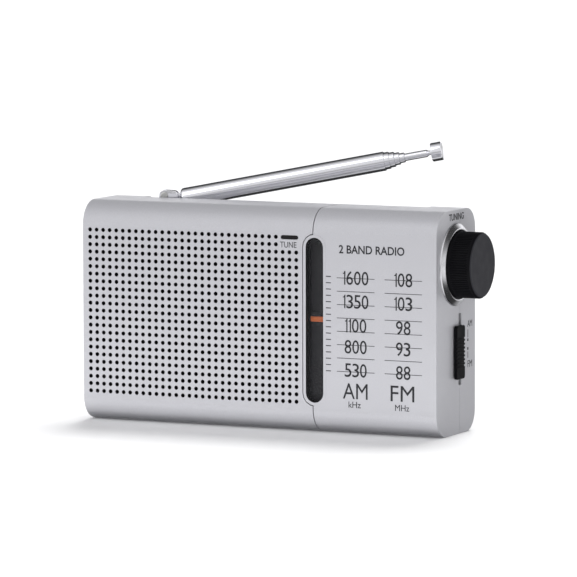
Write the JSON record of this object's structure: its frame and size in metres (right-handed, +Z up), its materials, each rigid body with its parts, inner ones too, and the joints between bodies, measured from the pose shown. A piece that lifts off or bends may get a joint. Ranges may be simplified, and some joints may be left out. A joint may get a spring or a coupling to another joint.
{
  "type": "pocket radio",
  "caption": "Silver pocket radio with a round-hole speaker grille, upright dial window with a pointer, side tuning knob, band switch and telescopic antenna.",
  "frame": {"origin": "centre of the flat base of the case, mid-width and mid-depth", "axes": "+Z up, -Y towards the front with the speaker grille and dial, +X towards the end with the tuning knob"},
  "size_m": [0.1313, 0.054, 0.087],
  "materials": {
    "silver_plastic": "satin silver moulded plastic",
    "black_plastic": "satin black moulded plastic",
    "chrome": "bright chrome plating",
    "satin_metal": "satin bright metal",
    "dial_plastic": "dark grey plastic",
    "pointer_orange": "orange plastic",
    "clear_lens": "clear",
    "lamp_lens": "dark clear plastic",
    "circuit_board": "resin board",
    "beige_plastic": "natural nylon",
    "plated_steel": "plated steel",
    "brass_metal": "turned brass",
    "copper_wire": "enamelled copper wire",
    "ferrite": "sintered ferrite",
    "cone_paper": "black paper cone",
    "nylon_cord": "twisted nylon cord",
    "cell_jacket": "printed sleeve, plain",
    "wire_sleeve": "wire sleeve"
  },
  "bodies": {
    "case": {"front_grille_cover": "silver_plastic", "front_dial_cover": "silver_plastic", "rear_shell": "silver_plastic", "case_screw_1": "plated_steel", "case_screw_2": "plated_steel", "case_screw_3": "plated_steel", "case_screw_4": "plated_steel", "dial_window_frame": "black_plastic", "dial_window_lens": "clear_lens", "dial_chassis": "dial_plastic", "dial_cord": "nylon_cord", "knob_bezel_ring": "satin_metal", "tuning_capacitor": "beige_plastic", "band_switch_body": "plated_steel", "volume_control": "plated_steel", "earphone_jack": "black_plastic", "tune_lamp_lens": "lamp_lens", "tune_lamp": "pointer_orange", "circuit_board": "circuit_board", "board_screw": "plated_steel", "radio_chip": "black_plastic", "if_transformer": "satin_metal", "ceramic_filter": "pointer_orange", "electrolytic_capacitor": "cell_jacket", "ferrite_rod": "ferrite", "ferrite_coil": "copper_wire", "ferrite_holder": "beige_plastic", "speaker_frame": "plated_steel", "speaker_magnet": "ferrite", "speaker_cone": "cone_paper", "speaker_screw_1": "plated_steel", "speaker_screw_2": "plated_steel", "speaker_screw_3": "plated_steel", "battery_cell_left": "cell_jacket", "battery_cell_right": "cell_jacket", "battery_spring": "plated_steel", "battery_contact": "brass_metal", "antenna_screw": "plated_steel", "speaker_lead": "wire_sleeve"},
    "tuning": {"tuning_knob": "black_plastic", "tuning_shaft": "brass_metal", "cord_drum": "beige_plastic"},
    "pointer": {"dial_pointer": "pointer_orange", "pointer_carriage": "dial_plastic"},
    "roller_1": {"cord_roller_1": "beige_plastic"},
    "roller_2": {"cord_roller_2": "beige_plastic"},
    "roller_3": {"cord_roller_3": "beige_plastic"},
    "roller_4": {"cord_roller_4": "beige_plastic"},
    "band_switch": {"band_switch_cap": "black_plastic"},
    "volume": {"volume_wheel": "black_plastic"},
    "door": {"battery_door": "silver_plastic"},
    "swivel": {"antenna_swivel": "chrome", "antenna_tilt_pin": "plated_steel"},
    "antenna": {"antenna_tube": "chrome"},
    "section_2": {"antenna_section_2": "chrome"},
    "section_3": {"antenna_section_3": "chrome"},
    "section_4": {"antenna_section_4": "chrome"},
    "section_5": {"antenna_section_5": "chrome"},
    "inner_rod": {"antenna_rod": "chrome", "antenna_tip": "chrome"}
  },
  "joints": [
    {"name": "tuning_turn", "type": "hinge", "parent": "case", "child": "tuning", "pos_m": [0.0604, 0, 0.0523], "axis": [1, 0, 0], "range_deg": [-94.6, 85.4]},
    {"name": "pointer_slide", "type": "slide", "parent": "case", "child": "pointer", "axis": [0, 0, 1], "range_m": [-0.0148, 0.0134]},
    {"name": "roller_1_turn", "type": "hinge", "parent": "case", "child": "roller_1", "pos_m": [0.0241, -0.0089, 0.063], "axis": [0, 1, 0], "range_deg": [-385, 348]},
    {"name": "roller_2_turn", "type": "hinge", "parent": "case", "child": "roller_2", "pos_m": [0.0513, -0.0089, 0.063], "axis": [0, 1, 0], "range_deg": [-385, 348]},
    {"name": "roller_3_turn", "type": "hinge", "parent": "case", "child": "roller_3", "pos_m": [0.0513, -0.0089, 0.0065], "axis": [0, 1, 0], "range_deg": [-385, 348]},
    {"name": "roller_4_turn", "type": "hinge", "parent": "case", "child": "roller_4", "pos_m": [0.0241, -0.0089, 0.0065], "axis": [0, 1, 0], "range_deg": [-385, 348]},
    {"name": "band_switch_slide", "type": "slide", "parent": "case", "child": "band_switch", "axis": [0, 0, 1], "range_m": [0, 0.0032]},
    {"name": "volume_turn", "type": "hinge", "parent": "case", "child": "volume", "pos_m": [-0.0525, 0.003, 0.042], "axis": [0, 1, 0], "range_deg": [-135, 135]},
    {"name": "battery_door_open", "type": "hinge", "parent": "case", "child": "door", "pos_m": [0, 0.0144, 0.0043], "axis": [-1, 0, 0], "range_deg": [0, 100]},
    {"name": "antenna_swivel_turn", "type": "hinge", "parent": "case", "child": "swivel", "pos_m": [-0.0436, 0.0094, 0.0694], "axis": [0, 0, 1], "range_deg": [-18, 72]},
    {"name": "antenna_tilt", "type": "hinge", "parent": "swivel", "child": "antenna", "pos_m": [-0.0436, 0.0094, 0.0694], "axis": [0.309, -0.9511, 0], "range_deg": [-10.7, 79.3]},
    {"name": "telescope_1", "type": "slide", "parent": "antenna", "child": "section_2", "axis": [0.9345, 0.3036, 0.1857], "range_m": [0, 0.055]},
    {"name": "telescope_2", "type": "slide", "parent": "section_2", "child": "section_3", "axis": [0.9345, 0.3036, 0.1857], "range_m": [0, 0.055]},
    {"name": "telescope_3", "type": "slide", "parent": "section_3", "child": "section_4", "axis": [0.9345, 0.3036, 0.1857], "range_m": [0, 0.055]},
    {"name": "telescope_4", "type": "slide", "parent": "section_4", "child": "section_5", "axis": [0.9345, 0.3036, 0.1857], "range_m": [0, 0.055]},
    {"name": "telescope_5", "type": "slide", "parent": "section_5", "child": "inner_rod", "axis": [0.9345, 0.3036, 0.1857], "range_m": [0, 0.055]}
  ],
  "couplings": [
    {"joint": "pointer_slide", "follows": "tuning_turn", "m_per_rad": 0.0089},
    {"joint": "roller_1_turn", "follows": "tuning_turn", "ratio": 4.0454},
    {"joint": "roller_2_turn", "follows": "tuning_turn", "ratio": 4.0454},
    {"joint": "roller_3_turn", "follows": "tuning_turn", "ratio": 4.0454},
    {"joint": "roller_4_turn", "follows": "tuning_turn", "ratio": 4.0454}
  ]
}
